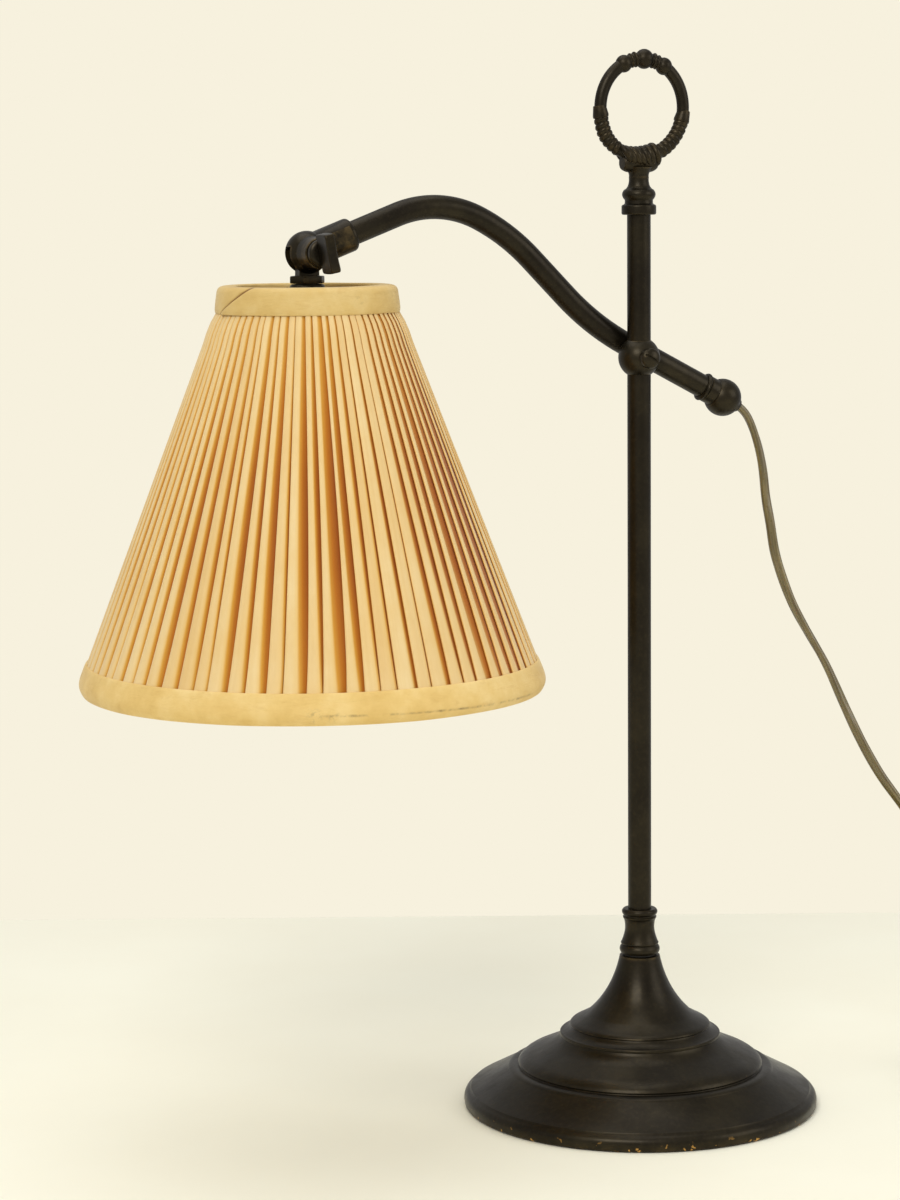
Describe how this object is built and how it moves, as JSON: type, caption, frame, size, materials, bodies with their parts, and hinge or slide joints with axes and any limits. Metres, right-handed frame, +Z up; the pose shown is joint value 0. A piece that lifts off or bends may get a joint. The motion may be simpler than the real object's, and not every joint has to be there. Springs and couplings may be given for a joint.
{
  "type": "desk lamp",
  "caption": "Desk lamp with a weighted round foot, a post topped by a ring handle, a curved arm on a sliding clamp and a tilting pleated cone shade.",
  "frame": {"origin": "centre of the foot's felt on the table", "axes": "+Z up along the post, -X towards the shade along the arm's plane, +Y towards the side on which the arm passes the post"},
  "size_m": [0.6128, 0.2448, 0.5746],
  "materials": {
    "bronze": "satin dark bronze",
    "iron": "rough black",
    "steel": "plain zinc",
    "brass": "dull",
    "felt": "green felt",
    "fibre": "black fibre",
    "rubber": "matt",
    "lining": "cream styrene, matt",
    "pleats": "cream pleated cloth",
    "braid": "folded cloth band",
    "porcelain": "glazed",
    "cap_alloy": "satin",
    "opal_glass": "opal",
    "cord": "olive gold, half clear",
    "tie": "black",
    "plug": "dark brown"
  },
  "bodies": {
    "base": {"base_shell": "bronze", "base_bush": "brass", "base_weight": "iron", "base_plate": "steel", "base_screws": "steel", "base_felt": "felt"},
    "post": {"neck_washer": "fibre", "neck_ferrule": "bronze", "post_stud": "steel", "stud_washer": "steel", "stud_nut": "steel", "post_tube": "bronze", "finial_socket": "bronze", "finial_knot": "bronze", "ring_handle": "bronze", "cord_drop": "cord", "cord_coil": "cord", "cord_tie": "tie", "plug_body": "plug", "plug_pins": "brass"},
    "arm": {"clamp_ball": "bronze", "arm_tube": "bronze", "arm_bead": "bronze", "arm_end_knob": "bronze", "cord_bushing": "rubber", "inner_lead": "cord", "knuckle_fork": "bronze", "wing_washer": "steel"},
    "clamp_screw": {"clamp_screw": "bronze"},
    "wing_screw": {"wing_screw": "bronze"},
    "head": {"knuckle_tongue": "bronze", "stem_locknut": "bronze", "shade_nut": "bronze", "nipple": "steel", "shade_spider": "brass", "shade_frame": "steel", "shade_lining": "lining", "shade_pleats": "pleats", "top_trim": "braid", "bottom_trim": "braid", "holder_cap": "brass", "holder_skirt": "brass", "holder_core": "porcelain", "holder_shell": "brass", "centre_contact": "brass", "bulb_cap": "cap_alloy", "bulb_glass": "opal_glass", "head_lead": "cord"},
    "switch_key": {"switch_key": "bronze"}
  },
  "joints": [
    {"name": "post_turn", "type": "hinge", "parent": "base", "child": "post", "pos_m": [0, 0, 0.05], "axis": [0, 0, 1], "range_deg": [-170, 170]},
    {"name": "arm_height", "type": "slide", "parent": "post", "child": "arm", "axis": [0, 0, 1], "range_m": [-0.2, 0.055], "deforming": ["cord_drop"]},
    {"name": "head_tilt", "type": "hinge", "parent": "arm", "child": "head", "pos_m": [-0.18547, 0.0133, 0.47087], "axis": [0, 1, 0], "range_deg": [-12, 75]},
    {"name": "wing_turn", "type": "hinge", "parent": "arm", "child": "wing_screw", "pos_m": [-0.18547, 0.0013, 0.47087], "axis": [0, -1, 0], "range_deg": [-180, 60]},
    {"name": "clamp_screw_turn", "type": "hinge", "parent": "arm", "child": "clamp_screw", "pos_m": [0, -0.01, 0.412], "axis": [0, -1, 0], "range_deg": [-180, 60]},
    {"name": "switch_turn", "type": "hinge", "parent": "head", "child": "switch_key", "pos_m": [-0.18547, -0.0067, 0.43767], "axis": [0, -1, 0], "range_deg": [-90, 90]}
  ]
}
